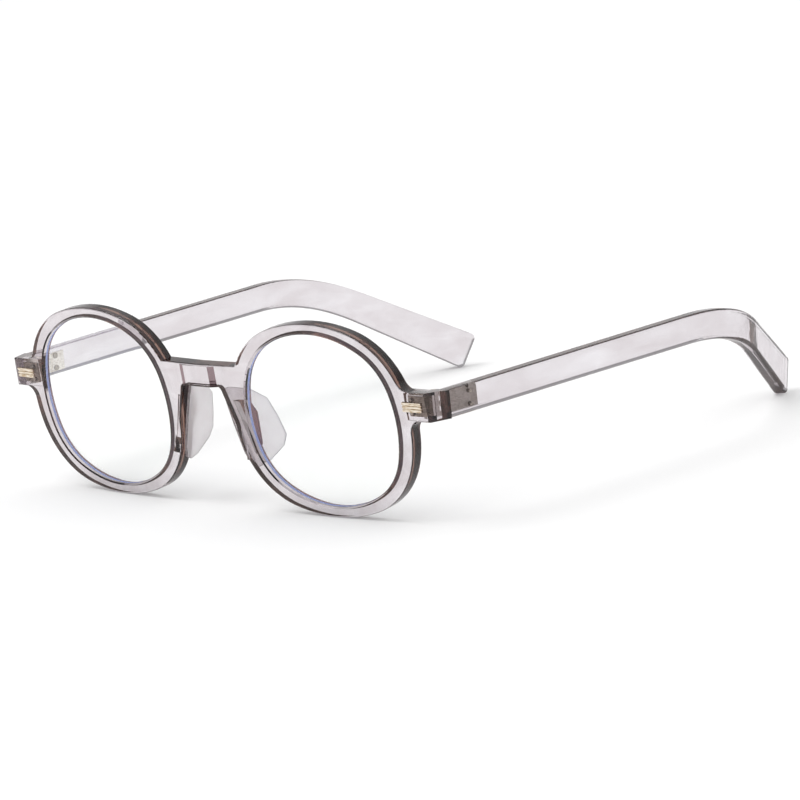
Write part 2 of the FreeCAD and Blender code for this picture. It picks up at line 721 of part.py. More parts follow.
# Ribbed plaque with two pins
plaque = new_body("plaque_left")
in_rim_frame(plaque, on_front)
plaque_face = dim.plaque_thickness - dim.plaque_recess
plaque_sketch = new_sketch(plaque, "plaque_outline", "XZ_Plane", plaque_face)
draw_outline(plaque_sketch, box_outline(plaque_low_x, plaque_high_x, plaque_low_z, plaque_high_z))
pad(plaque, "plaque_plate", plaque_sketch, dim.plaque_thickness, reverse=True)
pin_sketch = new_sketch(plaque, "plaque_pins_outline", "XZ_Plane")
for pin_x in (pin_low_x, pin_high_x):
    draw_circle(pin_sketch, pin_x, dim.plaque_rise, dim.plaque_pin_radius)
pad(plaque, "plaque_pins", pin_sketch, dim.plaque_recess + dim.plaque_pin_length, reverse=True)
flute_sketch = new_sketch(plaque, "plaque_flutes_outline", "XZ_Plane", plaque_face)
for side in (-dim.plaque_height / 6, dim.plaque_height / 6):
    middle = dim.plaque_rise + side
    draw_outline(flute_sketch, box_outline(
        plaque_low_x, plaque_high_x, middle - dim.plaque_groove / 2, middle + dim.plaque_groove / 2,
    ))
pocket(plaque, "plaque_flutes", flute_sketch, dim.plaque_groove)


def add_knuckles(body, numbers, web):
    """Barrel knuckles, counted from the bottom, each with a web to its leaf."""
    for number in numbers:
        foot = barrel_bottom + knuckle_step * number
        ring = new_sketch(body, "knuckle_%d_outline" % number, "XY_Plane", foot)
        draw_circle(ring, ZERO, ZERO, dim.knuckle_radius)
        pad(body, "knuckle_%d" % number, ring, dim.knuckle_height)
        arm = new_sketch(body, "web_%d_outline" % number, "XY_Plane", foot)
        draw_outline(arm, web)
        pad(body, "web_%d" % number, arm, dim.knuckle_height)
    bore = new_sketch(body, "bore_outline", "XY_Plane", dim.hinge_rise)
    draw_circle(bore, ZERO, ZERO, dim.screw_radius + dim.screw_clearance)
    pocket(body, "bore", bore, barrel_half * 3, both_ways=True)


# Front hinge leaf: plate, second and fourth knuckles
front_leaf = new_body("front_hinge_leaf_left")
at_pivot(front_leaf)
front_plate_sketch = new_sketch(front_leaf, "front_plate_outline", "XZ_Plane", leaf_far)
draw_outline(front_plate_sketch, box_outline(-dim.front_leaf_length, dim.knuckle_radius, leaf_low, leaf_high))
pad(front_leaf, "front_plate", front_plate_sketch, dim.leaf_thickness, reverse=True)
web_reach = dim.knuckle_radius + dim.barrel_gap - dim.seat_clearance
add_knuckles(front_leaf, (1, 3), box_outline(-dim.knuckle_radius, dim.knuckle_radius, -web_reach, ZERO))
front_leaf_holes = new_sketch(front_leaf, "front_plate_holes_outline", "XZ_Plane", leaf_near)
for side in (-dim.rivet_half_spacing, dim.rivet_half_spacing):
    draw_circle(
        front_leaf_holes, -dim.front_rivet_place, dim.hinge_rise + side, dim.rivet_radius + dim.seat_clearance,
    )
pocket(front_leaf, "front_plate_holes", front_leaf_holes, dim.leaf_thickness * 3, both_ways=True)

# Temple hinge leaf: plate, first, third and fifth knuckles; the top one hides the screw head
temple_leaf = new_body("temple_hinge_leaf_left")
at_pivot(temple_leaf, yaw=-dim.temple_bow_angle)
temple_plate_sketch = new_sketch(temple_leaf, "temple_plate_outline", "YZ_Plane", leaf_near)
draw_outline(temple_plate_sketch, box_outline(dim.temple_leaf_start, dim.temple_leaf_length, leaf_low, leaf_high))
pad(temple_leaf, "temple_plate", temple_plate_sketch, dim.leaf_thickness)
temple_web = box_outline(ZERO, web_reach, dim.temple_leaf_start, dim.knuckle_radius)
add_knuckles(temple_leaf, (0, 2, 4), temple_web)
counterbore = new_sketch(temple_leaf, "counterbore_outline", "XY_Plane", barrel_top)
draw_circle(counterbore, ZERO, ZERO, dim.screw_head_radius + dim.screw_clearance)
pocket(temple_leaf, "counterbore", counterbore, dim.screw_head_height)
temple_leaf_holes = new_sketch(temple_leaf, "temple_plate_holes_outline", "YZ_Plane", leaf_near)
for side in (-dim.rivet_half_spacing, dim.rivet_half_spacing):
    draw_circle(
        temple_leaf_holes, dim.temple_rivet_place, dim.hinge_rise + side, dim.rivet_radius + dim.seat_clearance,
    )
pocket(temple_leaf, "temple_plate_holes", temple_leaf_holes, dim.leaf_thickness * 3, both_ways=True)

# Hinge screw with a slotted head
screw = new_body("hinge_screw_left")
at_pivot(screw)
shank_sketch = new_sketch(screw, "shank_outline", "XY_Plane", barrel_bottom)
draw_circle(shank_sketch, ZERO, ZERO, dim.screw_radius)
pad(screw, "shank", shank_sketch, barrel_half * 2 - dim.screw_head_height)
head_sketch = new_sketch(screw, "head_outline", "XY_Plane", barrel_top - dim.screw_head_height)
draw_circle(head_sketch, ZERO, ZERO, dim.screw_head_radius)
pad(screw, "head", head_sketch, dim.screw_head_height)
slot_sketch = new_sketch(screw, "slot_outline", "XY_Plane", barrel_top)
slot_half = dim.screw_slot_width / 2
draw_outline(slot_sketch, box_outline(-dim.knuckle_radius, dim.knuckle_radius, -slot_half, slot_half))
pocket(screw, "slot", slot_sketch, dim.screw_slot_depth)


def rivet(name, plane, yaw, along, up, seat, outwards):
    """A domeless rivet: a flat head on the leaf and a shank into the plastic."""
    body = new_body(name)
    at_pivot(body, yaw=yaw)
    head = new_sketch(body, name + "_head_outline", plane, seat)
    draw_circle(head, along, dim.hinge_rise + up, dim.rivet_head_radius)
    pad(body, name + "_head", head, dim.rivet_head_height, reverse=outwards)
    shank = new_sketch(body, name + "_shank_outline", plane, seat)
    draw_circle(shank, along, dim.hinge_rise + up, dim.rivet_radius)
    pad(body, name + "_shank", shank, dim.rivet_length, reverse=not outwards)
    return body


rivets = []
for level, up in (("upper", dim.rivet_half_spacing), ("lower", -dim.rivet_half_spacing)):
    rivets.append(rivet(
        "front_rivet_left_" + level, "XZ_Plane", ZERO, -dim.front_rivet_place, up, leaf_near, True,
    ))
    rivets.append(rivet(
        "temple_rivet_left_" + level, "YZ_Plane", -dim.temple_bow_angle, dim.temple_rivet_place, up, leaf_near, True,
    ))

# Temple: a straight arm, a smooth bend and a drop-down tip that turns in
temple = new_body("temple_left")
at_pivot(temple, yaw=-dim.temple_bow_angle)
butt_y = (dim.mitre_gap + temple_middle_x * sine(dim.temple_bow_angle)) / cosine(dim.temple_bow_angle)
arm_slope = dim.temple_bend_rise / (bend_y - butt_y)
bend_reach_share = dim.temple_bend_reach / tip_length


def temple_section(name, x, y, z, height, turn, drop):
    """A round-cornered section across the temple, turned in and dropped."""
    sketch = temple.newObject("Sketcher::SketchObject", name)
    sketch.AttachmentSupport = [(plane_of(temple, "XZ_Plane"), "")]
    sketch.MapMode = "FlatFace"
    spot = "vector(%s; %s; %s)" % (x.formula, z.formula, (-y).formula)
    sketch.setExpression(
        "AttachmentOffset", "placement(%s; rotation(0; %s; %s))" % (spot, turn.formula, (-drop).formula))
    wide, tall, corner = dim.temple_thickness / 2, height / 2, dim.temple_edge_round
    draw_outline(sketch, [
        (corner - wide, -tall), (wide - corner, -tall, corner),
        (wide, corner - tall), (wide, tall - corner, corner),
        (wide - corner, tall), (corner - wide, tall, corner),
        (-wide, tall - corner), (-wide, corner - tall, corner),
    ])
    return sketch


BEND_STEPS = 4
sections = [temple_section(
    "butt_section", temple_middle_x, butt_y, dim.hinge_rise, dim.temple_height_front, dim.temple_bow_angle, ZERO,
)]
for step in range(BEND_STEPS + 1):
    after = step / BEND_STEPS
    before = 1 - after
    back = dim.temple_bend_reach * before ** 2
    on = dim.temple_bend_reach * after ** 2
    sections.append(temple_section(
        "bend_section_%d" % step,
        temple_middle_x + tip_way[0] * on,
        bend_y - back + tip_way[1] * on,
        bend_z - arm_slope * back + tip_way[2] * on,
        dim.temple_height_bend + (dim.temple_height_tip - dim.temple_height_bend) * bend_reach_share * after,
        dim.temple_turn_in_angle * after, dim.temple_drop_angle * after,
    ))
sections.append(temple_section(
    "tip_section",
    temple_middle_x + tip_way[0] * tip_length, bend_y + tip_way[1] * tip_length, bend_z + tip_way[2] * tip_length,
    dim.temple_height_tip, dim.temple_turn_in_angle, dim.temple_drop_angle,
))
loft(temple, "arm", sections[:2])
bend = loft(temple, "bend", sections[1:-1])
bend.Ruled = False
doc.recompute()
loft(temple, "tip", sections[-2:])


def past_tip(edge):
    """Picks the edges round the temple's end face."""
    way = FreeCAD.Vector(tip_way[0].value, tip_way[1].value, tip_way[2].value)
    start = FreeCAD.Vector(temple_middle_x.value, bend_y.value, bend_z.value)
    ends = (edge.valueAt(edge.FirstParameter), edge.valueAt(edge.LastParameter))
    return all(abs((point - start).dot(way) - tip_length.value) < NEAR for point in ends)


dress(temple, "Fillet", "tip_round", dim.temple_tip_round, past_tip)
temple_seat_sketch = new_sketch(temple, "temple_leaf_seat_outline", "YZ_Plane", dim.knuckle_radius + dim.barrel_gap)
draw_outline(temple_seat_sketch, box_outline(
    -dim.overrun, dim.temple_leaf_length + dim.seat_clearance,
    leaf_low - dim.seat_clearance, leaf_high + dim.seat_clearance,
))
pocket(temple, "temple_leaf_seat", temple_seat_sketch, leaf_far - dim.knuckle_radius - dim.barrel_gap, reverse=True)
temple_hole_sketch = new_sketch(temple, "temple_rivet_holes_outline", "YZ_Plane", dim.knuckle_radius + dim.barrel_gap)
for side in (-dim.rivet_half_spacing, dim.rivet_half_spacing):
    draw_circle(
        temple_hole_sketch, dim.temple_rivet_place, dim.hinge_rise + side, dim.rivet_radius + dim.seat_clearance,
    )
pocket(temple, "temple_rivet_holes", temple_hole_sketch, rivet_hole_depth, reverse=True)

# Nose pad
nose_pad = new_body("nose_pad_left")
in_pad_frame(nose_pad, on_front)
pad_sketch = new_sketch(nose_pad, "nose_pad_outline", "YZ_Plane")
draw_outline(pad_sketch, [
    (dim.pad_depth * along - dim.pad_front_edge, dim.pad_height * up - dim.pad_low_edge)
    for along, up in PAD_OUTLINE_SHARES
])
pad(nose_pad, "nose_pad_plate", pad_sketch, dim.pad_thickness)


def on_nose_face(edge):
    """Picks the outline of the pad's face to the nose."""
    return abs(edge.valueAt(edge.FirstParameter).x) < NEAR and abs(edge.valueAt(edge.LastParameter).x) < NEAR


dress(nose_pad, "Fillet", "nose_pad_round", dim.pad_round, on_nose_face)

# The mirrored twin of every piece, and the front joined from its two halves
left_pieces = [lens, nose_pad, plaque, front_leaf, temple_leaf, screw, temple] + rivets
nodes = {}
for piece in left_pieces:
    twin = doc.addObject("Part::Mirroring", piece.Name.replace("left", "right"))
    twin.Source = piece
    twin.Normal = FreeCAD.Vector(1, 0, 0)
    nodes[piece.Name] = piece
    nodes[twin.Name] = twin
front_twin = doc.addObject("Part::Mirroring", "front_half_twin")
front_twin.Source = front_half
front_twin.Normal = FreeCAD.Vector(1, 0, 0)
front_frame = doc.addObject("Part::Fuse", "front_frame")
front_frame.Base = front_half
front_frame.Tool = front_twin
front_frame.Refine = True
on_front(front_frame, ZERO, ZERO, ZERO)
nodes["front_frame"] = front_frame
doc.recompute()

for item in doc.Objects:
    if "Invalid" in item.State or "Error" in item.State:
        raise RuntimeError("%s could not be built" % item.Name)
for name, item in nodes.items():
    item.Label = name
    if item.Shape.isNull() or not item.Shape.isValid():
        raise RuntimeError("%s has no sound shape" % name)

os.makedirs("parts", exist_ok=True)
for name, item in sorted(nodes.items()):
    item.Shape.exportStep(os.path.join("parts", name + ".step"))
    box = item.Shape.optimalBoundingBox(False)
    print("%-26s volume %8.2f  x %7.2f %7.2f  y %7.2f %7.2f  z %7.2f %7.2f" % (
        name, item.Shape.Volume, box.XMin, box.XMax, box.YMin, box.YMax, box.ZMin, box.ZMax))
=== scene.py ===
# %% [markdown]
# # Round eyeglasses
# The frame comes in as solid parts, already in place, each with its own name.
# This lesson gives every part the look of the real thing: clear tinted plastic, coated lenses,
# soft nose pads and small metal fittings. Then it sets up a plain white studio and a camera.

# %% Load the parts
import math

import bpy
from mathutils import Matrix, Vector


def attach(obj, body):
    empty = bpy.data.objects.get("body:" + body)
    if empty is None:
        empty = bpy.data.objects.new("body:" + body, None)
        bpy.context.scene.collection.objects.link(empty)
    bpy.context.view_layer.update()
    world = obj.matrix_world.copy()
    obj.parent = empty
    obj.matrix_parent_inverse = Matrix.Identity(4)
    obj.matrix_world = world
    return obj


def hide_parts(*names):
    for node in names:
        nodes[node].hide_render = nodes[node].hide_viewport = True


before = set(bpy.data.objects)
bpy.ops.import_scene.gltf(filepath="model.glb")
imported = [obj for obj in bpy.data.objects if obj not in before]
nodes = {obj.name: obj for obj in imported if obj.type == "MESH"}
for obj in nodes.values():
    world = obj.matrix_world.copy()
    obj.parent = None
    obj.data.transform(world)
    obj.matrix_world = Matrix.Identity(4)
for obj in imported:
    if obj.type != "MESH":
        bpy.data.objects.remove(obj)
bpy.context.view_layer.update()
bpy.ops.object.select_all(action="DESELECT")

# %% [markdown]
# The file is in metres and a pair of glasses is small, so lengths below are written in millimetres
# and multiplied by MM. Left and right are the wearer's; the left side is at positive X.
# Colours are written as a web page writes them, and one function turns them to the linear numbers
# that a shader needs.

# %% Units, sides and colours
MM = 0.001
HANDS = {"left": 1, "right": -1}


def linear(code):
    """The linear colour of an sRGB hex code."""
    shares = [int(code[i:i + 2], 16) / 255 for i in (1, 3, 5)]
    return tuple(s / 12.92 if s <= 0.04045 else ((s + 0.055) / 1.055) ** 2.4 for s in shares) + (1.0,)


print("a mid grey in linear light:", round(linear("#808080")[0], 3))

# %% [markdown]
# A material is a little tree of nodes. One helper adds a node with its settings, and links a socket
# where the value that it gets is the output of another node.

# %% One helper for nodes


def add(tree, kind, inputs=None, **settings):
    """Adds a node. Inputs are values, or output sockets that are linked in."""
    node = tree.nodes.new(kind)
    for name, value in settings.items():
        setattr(node, name, value)
    for name, value in (inputs or {}).items():
        socket = node.inputs[name]
        if isinstance(value, bpy.types.NodeSocket):
            tree.links.new(value, socket)
        else:
            socket.default_value = value
    return node


print("node helper:", add.__name__)

# %% [markdown]
# Two more small helpers start a material with an empty tree, and give a material to parts by name.

# %% Start a material, dress a part


def new_tree(name):
    """A named material with an empty node tree."""
    material = bpy.data.materials.new(name)
    material.use_nodes = True
    material.node_tree.nodes.clear()
    return material, material.node_tree


def dress(names, material):
    """Gives nodes of the frame a material."""
    for name in names:
        nodes[name].data.materials.clear()
        nodes[name].data.materials.append(material)


print("nodes to dress:", ", ".join(sorted(nodes)))

# %% [markdown]
# The front and the temples are injection moulded from clear plastic with a grey lilac tint. The
# melt streams as it fills the mould, so the tint is a little uneven along the part. The faces of
# the front will carry two numbers, "slanted" and "grooved", that paint shade into the tint where
# they are 1. A mesh without them counts as 0.

# %% Streaks and painted shade in the tint
STREAK_SIZE = 5 * MM
STREAK_STRETCH = (1.0, 0.25, 1.0)
STREAK_ENDS = ((0.35, "#F3F1F2"), (0.70, "#FDFDFE"))
# Painted shade: the marked bridge facets and lens groove get these darker tints.
PAINTED_SHADE_TINTS = {"slanted": "#A8979A", "grooved": "#9A7C6E"}


def streaks_and_painted_shade(tree, spot):
    """Uneven grey lilac, with painted shade on the marked faces."""
    stretched = add(tree, "ShaderNodeMapping", {"Vector": spot, "Scale": STREAK_STRETCH})
    flow = add(tree, "ShaderNodeTexNoise", {
        "Vector": stretched.outputs["Vector"], "Scale": 1 / STREAK_SIZE, "Detail": 3.0, "Distortion": 0.6})
    tint = add(tree, "ShaderNodeValToRGB", {"Fac": flow.outputs["Fac"]})
    for element, (position, code) in zip(tint.color_ramp.elements, STREAK_ENDS):
        element.position, element.color = position, linear(code)
    colour = tint.outputs["Color"]
    for attribute, code in PAINTED_SHADE_TINTS.items():
        mark = add(tree, "ShaderNodeAttribute", attribute_name=attribute)
        colour = add(tree, "ShaderNodeMix", {
            0: mark.outputs["Fac"], 6: colour, 7: linear(code)}, data_type="RGBA").outputs[2]
    return colour


print("streaks of", round(STREAK_SIZE / MM), "mm, marked faces:", sorted(PAINTED_SHADE_TINTS))

# %% [markdown]
# Polished plastic still has a trace of haze and faint waves. Two noises make them: a fine one for
# the roughness, and a broader one that tips the surface a little.

# %% Haze and waves
HAZE_SIZE = 1.2 * MM
HAZE_MOST = 0.03
WAVE_SIZE = 3 * MM
WAVE_HEIGHT = 0.05 * MM


def polished(tree, spot):
    """The roughness, the noise of the waves, and the normal that they bend."""
    haze = add(tree, "ShaderNodeTexNoise", {"Vector": spot, "Scale": 1 / HAZE_SIZE, "Detail": 4.0})
    rough = add(tree, "ShaderNodeMapRange", {
        "Value": haze.outputs["Fac"], "To Min": 0.0, "To Max": HAZE_MOST})
    waves = add(tree, "ShaderNodeTexNoise", {"Vector": spot, "Scale": 1 / WAVE_SIZE, "Detail": 1.0})
    bump = add(tree, "ShaderNodeBump", {
        "Height": waves.outputs["Fac"], "Strength": 0.35, "Distance": WAVE_HEIGHT})
    return rough.outputs["Result"], waves.outputs["Fac"], bump.outputs["Normal"]


print("waves of", round(WAVE_SIZE / MM), "mm")

# %% [markdown]
# A wall that light meets at a slant from inside the plastic sends all of it back, as a mirror does.
# On the real thing such places look brown; here the brown is painted shade. A Fresnel node says
# how much light comes back there. Only the first bounce takes it: a path that meets many walls
# would turn black.

# %% Painted brown shade on the walls
PLASTIC_IOR = 1.50
MIRROR_FROM = 0.6
FIRST_BOUNCE = 1.5
PAINTED_SHADE_PALE = "#84685E"


def painted_brown_shade(tree, colour, waves, normal, shade, bounces):
    """The tint, with a painted brown shade where a wall sends the light back."""
    mirror = add(tree, "ShaderNodeFresnel", {"IOR": PLASTIC_IOR, "Normal": normal})
    mirror = add(tree, "ShaderNodeMapRange", {
        "Value": mirror.outputs["Fac"], "From Min": MIRROR_FROM, "From Max": 1.0})
    first = add(tree, "ShaderNodeMath", {0: bounces, 1: FIRST_BOUNCE}, operation="LESS_THAN")
    mirror = add(tree, "ShaderNodeMath", {
        0: mirror.outputs["Result"], 1: first.outputs[0]}, operation="MULTIPLY")
    brown = add(tree, "ShaderNodeValToRGB", {"Fac": waves})
    # Painted shade: the brown stands in for the dark that a wall mirrors back inside.
    for element, (position, code) in zip(brown.color_ramp.elements, ((0.30, shade), (0.75, PAINTED_SHADE_PALE))):
        element.position, element.color = position, linear(code)
    return add(tree, "ShaderNodeMix", {
        0: mirror.outputs[0], 6: colour, 7: brown.outputs["Color"]}, data_type="RGBA").outputs[2]


print("walls turn brown from a mirror share of", MIRROR_FROM)

# %% [markdown]
# The plastic is a smooth refracting surface around a volume that takes a little colour on each
# millimetre, so thin places look pale. A path that is still inside after several bounces ends on
# a painted glow, a soft light in the plastic's own colour, in place of being followed for ever.

# %% Clear plastic
LAST_BOUNCE = 5.5


def clear_plastic(name, absorbed, per_metre, shade, glow):
    """Tinted clear moulding: refraction outside, absorption inside, painted brown shade on the walls,
    painted glow.
    """
    material, tree = new_tree(name)
    spot = add(tree, "ShaderNodeTexCoord").outputs["Object"]
    bounces = add(tree, "ShaderNodeLightPath").outputs["Ray Depth"]
    rough, waves, normal = polished(tree, spot)
    colour = painted_brown_shade(tree, streaks_and_painted_shade(tree, spot), waves, normal, shade, bounces)
    glass = add(tree, "ShaderNodeBsdfGlass", {
        "Color": colour, "Roughness": rough, "Normal": normal, "IOR": PLASTIC_IOR})
    # Painted glow: a path past LAST_BOUNCE ends on light given off by the plastic itself.
    late = add(tree, "ShaderNodeMath", {0: bounces, 1: LAST_BOUNCE}, operation="GREATER_THAN")
    spread = add(tree, "ShaderNodeEmission", {"Color": linear(glow), "Strength": 1.0})
    surface = add(tree, "ShaderNodeMixShader", {
        0: late.outputs[0], 1: glass.outputs[0], 2: spread.outputs[0]})
    inside = add(tree, "ShaderNodeVolumeAbsorption", {"Color": linear(absorbed), "Density": per_metre})
    add(tree, "ShaderNodeOutputMaterial", {
        "Surface": surface.outputs[0], "Volume": inside.outputs["Volume"]})
    material.cycles.emission_sampling = "NONE"
    return material


# The fourth colour is the painted brown shade of the walls, the fifth the painted glow.
front_plastic = clear_plastic("moulded_clear_plastic_front", "#BCABB0", 120.0, "#4C3229", "#D8D0D3")
temple_plastic = clear_plastic("moulded_clear_plastic_temple", "#BDAFB6", 90.0, "#5A4840", "#DDD6DA")
dress(["temple_" + side for side in HANDS], temple_plastic)
print("plastics:", front_plastic.name, temple_plastic.name)

# %% [markdown]
# The two rims are turned a little: each wraps round the face and is tilted. To
# find a rim's own front, back and middle, a place or a direction is turned into the rim's frame,
# where Y is the depth from its front.

# %% The frame of a rim
TILT = math.radians(5.9)
WRAP = math.radians(3.4)
RIM_CENTRE = (35.5, -71.04, 22.884)
OPENING_REACH = 26 * MM


def rim_turn(hand):
    """How the rim of one side is wrapped and tilted."""
    return Matrix.Rotation(hand * WRAP, 3, "Z") @ Matrix.Rotation(TILT, 3, "X")


def rim_centre(hand):
    """The middle of the front of one rim."""
    return Vector((hand * RIM_CENTRE[0], RIM_CENTRE[1], RIM_CENTRE[2])) * MM


def in_rim(face):
    """The side, the place and the direction of a face, in the frame of its rim."""
    hand = 1 if face.center.x > 0 else -1
    back = rim_turn(hand).inverted()
    return hand, back @ (face.center - rim_centre(hand)), back @ face.normal


def faces_opening(middle, normal):
    """Whether a face is by the opening of its rim and looks at its middle."""
    return middle.length < OPENING_REACH and normal.x * middle.x + normal.z * middle.z < 0


print("rim wrapped and tilted by", [round(math.degrees(angle), 1) for angle in (WRAP, TILT)], "degrees")

# %% [markdown]
# The front needs work on its mesh, which a part of the frame isn't given. The front needs
# work on its mesh, so a copy takes its place. The triangles of the frame are loose, and the
# copy joins them at their corners first.

# %% A copy of the front
WELD = 0.001 * MM


def merged_copy(name, label):
    """A copy of a node with its loose triangles joined."""
    piece = nodes[name].copy()
    piece.data = nodes[name].data.copy()
    piece.name = piece.data.name = label
    bpy.context.scene.collection.objects.link(piece)
    bpy.ops.object.select_all(action="DESELECT")
    bpy.context.view_layer.objects.active = piece
    piece.select_set(True)
    bpy.ops.object.mode_set(mode="EDIT")
    bpy.ops.mesh.select_all(action="SELECT")
    bpy.ops.mesh.remove_doubles(threshold=WELD)
    bpy.ops.object.mode_set(mode="OBJECT")
    bpy.ops.mesh.customdata_custom_splitnormals_clear()
    return piece


front_piece = merged_copy("front_frame", "front_moulding")
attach(front_piece, "front")
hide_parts("front_frame")
mesh = front_piece.data
mesh.materials.clear()
mesh.materials.append(front_plastic)
print(front_piece.name, "faces:", len(mesh.polygons))

# %% [markdown]
# On the real front the mouth of each opening is only lightly broken. The bevel of the solid is
# made narrower: its front edge closes in, and its inner edge rises to meet it.

# %% Narrow bevels
BEVEL_LOOKS = (-0.985, -0.60)
BEVEL_DEPTH = 0.5 * MM
BEVEL_CLOSES = 0.95 * MM
BEVEL_RISES = 0.25 * MM
NEAR = 0.02 * MM

inwards_of = {}
for face in mesh.polygons:
    hand, middle, normal = in_rim(face)
    if faces_opening(middle, normal) and BEVEL_LOOKS[0] < normal.y < BEVEL_LOOKS[1]:
        for index in face.vertices:
            inwards = inwards_of.setdefault(index, (hand, Vector((0, 0, 0))))[1]
            inwards.x += normal.x
            inwards.z += normal.z
for index, (hand, inwards) in inwards_of.items():
    turn, centre, vertex = rim_turn(hand), rim_centre(hand), mesh.vertices[index]
    spot = turn.inverted() @ (vertex.co - centre)
    if abs(spot.y) < NEAR:
        spot = spot + inwards.normalized() * BEVEL_CLOSES
    elif abs(spot.y - BEVEL_DEPTH) < NEAR:
        spot = Vector((spot.x, BEVEL_RISES, spot.z))
    vertex.co = centre + turn @ spot
mesh.update()
print("bevel vertices moved:", len(inwards_of))

# %% [markdown]
# The two slanted facets of the bridge look darker than the panel between them, because they send
# light sideways into the plastic; here that darkness is painted shade. The groove behind the bevel,
# which holds the lens, gets a painted brown shade in its depth. Both get a number on their faces,
# which the plastic's tint reads. Last, the copy is shaded smooth, but not across its edges.

# %% Painted shade on facets and grooves
FACET_SPAN = (3.8 * MM, 6.2 * MM)
FACET_LOOKS = (0.25, 0.45)
GROOVE_FRONT = 1.2 * MM
SMOOTH_BELOW = math.radians(15)


def is_facet(face):
    """Whether a face is one of the slanted facets beside the bridge's panel."""
    beside = FACET_SPAN[0] < abs(face.center.x) < FACET_SPAN[1]
    return beside and FACET_LOOKS[0] < abs(face.normal.x) < FACET_LOOKS[1] and face.normal.y < -0.85


def is_groove(face):
    """Whether a face is in the lens groove or on the wall behind it."""
    _, middle, normal = in_rim(face)
    return faces_opening(middle, normal) and middle.y > GROOVE_FRONT and abs(normal.y) < 0.9


# Painted shade: a face gets 1 where the plastic's tint is to be darkened.
for name, chosen in (("slanted", is_facet), ("grooved", is_groove)):
    marks = mesh.attributes.new(name, "FLOAT", "FACE")
    for face, mark in zip(mesh.polygons, marks.data):
        mark.value = float(chosen(face))
    print(name, "faces:", int(sum(mark.value for mark in marks.data)))
bpy.ops.object.shade_smooth_by_angle(angle=SMOOTH_BELOW)

# %% [markdown]
# The lenses are cast resin with a coating against blue light. Seen straight on they are clear,
# with a trace of smears in their polish.

# %% Lens resin
SMEAR_SIZE = 8 * MM
resin, tree = new_tree("cast_resin_lens_polished")
spot = add(tree, "ShaderNodeTexCoord").outputs["Object"]
smears = add(tree, "ShaderNodeTexNoise", {"Vector": spot, "Scale": 1 / SMEAR_SIZE, "Detail": 2.0})
rough = add(tree, "ShaderNodeMapRange", {"Value": smears.outputs["Fac"], "To Min": 0.0, "To Max": 0.012})
tint = add(tree, "ShaderNodeValToRGB", {"Fac": smears.outputs["Fac"]})
for element, code in zip(tint.color_ramp.elements, ("#FBFDFB", "#FEFFFF")):
    element.color = linear(code)
surface = add(tree, "ShaderNodeBsdfPrincipled", {
    "Base Color": tint.outputs["Color"], "Roughness": rough.outputs["Result"],
    "IOR": 1.50, "Transmission Weight": 1.0, "Specular Tint": linear("#AEB8FF")})
add(tree, "ShaderNodeOutputMaterial", {"Surface": surface.outputs["BSDF"]})
print("lens material:", resin.name)

# %% [markdown]
# The ground edge of a lens, which sits in the groove of the rim, is painted blue violet for the light
# that the coating turns back, a painted reflection, and gets a faint painted glow of the same blue.

# %% Ground edge with painted reflection and glow
GRIT_SIZE = 0.4 * MM
ground_edge, tree = new_tree("ground_lens_edge_painted_blue_glow")
spot = add(tree, "ShaderNodeTexCoord").outputs["Object"]
grit = add(tree, "ShaderNodeTexNoise", {"Vector": spot, "Scale": 1 / GRIT_SIZE, "Detail": 3.0})
tint = add(tree, "ShaderNodeValToRGB", {"Fac": grit.outputs["Fac"]})
# Painted reflection: the blue violet of the light that the coating turns back.
for element, (position, code) in zip(tint.color_ramp.elements, ((0.3, "#AEBEFF"), (0.7, "#D6E0FF"))):
    element.position, element.color = position, linear(code)
# Painted glow: the edge gives off a little of that blue.
surface = add(tree, "ShaderNodeBsdfPrincipled", {
    "Base Color": tint.outputs["Color"], "Roughness": 0.4, "IOR": 1.50, "Transmission Weight": 0.1,
    "Emission Color": tint.outputs["Color"], "Emission Strength": 0.15})
add(tree, "ShaderNodeOutputMaterial", {"Surface": surface.outputs["BSDF"]})
print("edge material:", ground_edge.name)

# %% [markdown]
# Each lens gets both: the resin on its two faces, and the ground edge on every face that looks
# away from the axis of the lens.

# %% Dress the lenses
EDGE_LEAN = 0.96
for side, hand in HANDS.items():
    dress(["lens_" + side], resin)
    lens_mesh = nodes["lens_" + side].data
    lens_mesh.materials.append(ground_edge)
    axis = rim_turn(hand) @ Vector((0, 1, 0))
    for face in lens_mesh.polygons:
        face.material_index = int(abs(face.normal.dot(axis)) < EDGE_LEAN)
    print("lens_" + side, "edge faces:", sum(face.material_index for face in lens_mesh.polygons))

# %% [markdown]
# The nose pads are moulded in soft clear plastic with a fine matt skin, so they look milky: light
# goes in, is scattered and comes out again. A rough refracting surface does that.

# %% Frosted pad plastic
CLOUD_SIZE = 4 * MM
GRAIN_SIZE = 0.15 * MM
pad_skin, tree = new_tree("moulded_frosted_pad_plastic")
spot = add(tree, "ShaderNodeTexCoord").outputs["Object"]
cloud = add(tree, "ShaderNodeTexNoise", {"Vector": spot, "Scale": 1 / CLOUD_SIZE, "Detail": 3.0})
tint = add(tree, "ShaderNodeValToRGB", {"Fac": cloud.outputs["Fac"]})
for element, (position, code) in zip(tint.color_ramp.elements, ((0.30, "#F4EFF1"), (0.75, "#FDFBFC"))):
    element.position, element.color = position, linear(code)
grain = add(tree, "ShaderNodeTexNoise", {"Vector": spot, "Scale": 1 / GRAIN_SIZE, "Detail": 2.0})
bump = add(tree, "ShaderNodeBump", {"Height": grain.outputs["Fac"], "Strength": 0.2, "Distance": 0.02 * MM})
surface = add(tree, "ShaderNodeBsdfPrincipled", {
    "Base Color": tint.outputs["Color"], "Roughness": 0.38, "Normal": bump.outputs["Normal"],
    "IOR": 1.45, "Transmission Weight": 0.75})
add(tree, "ShaderNodeOutputMaterial", {"Surface": surface.outputs["BSDF"]})
print("pad material:", pad_skin.name)
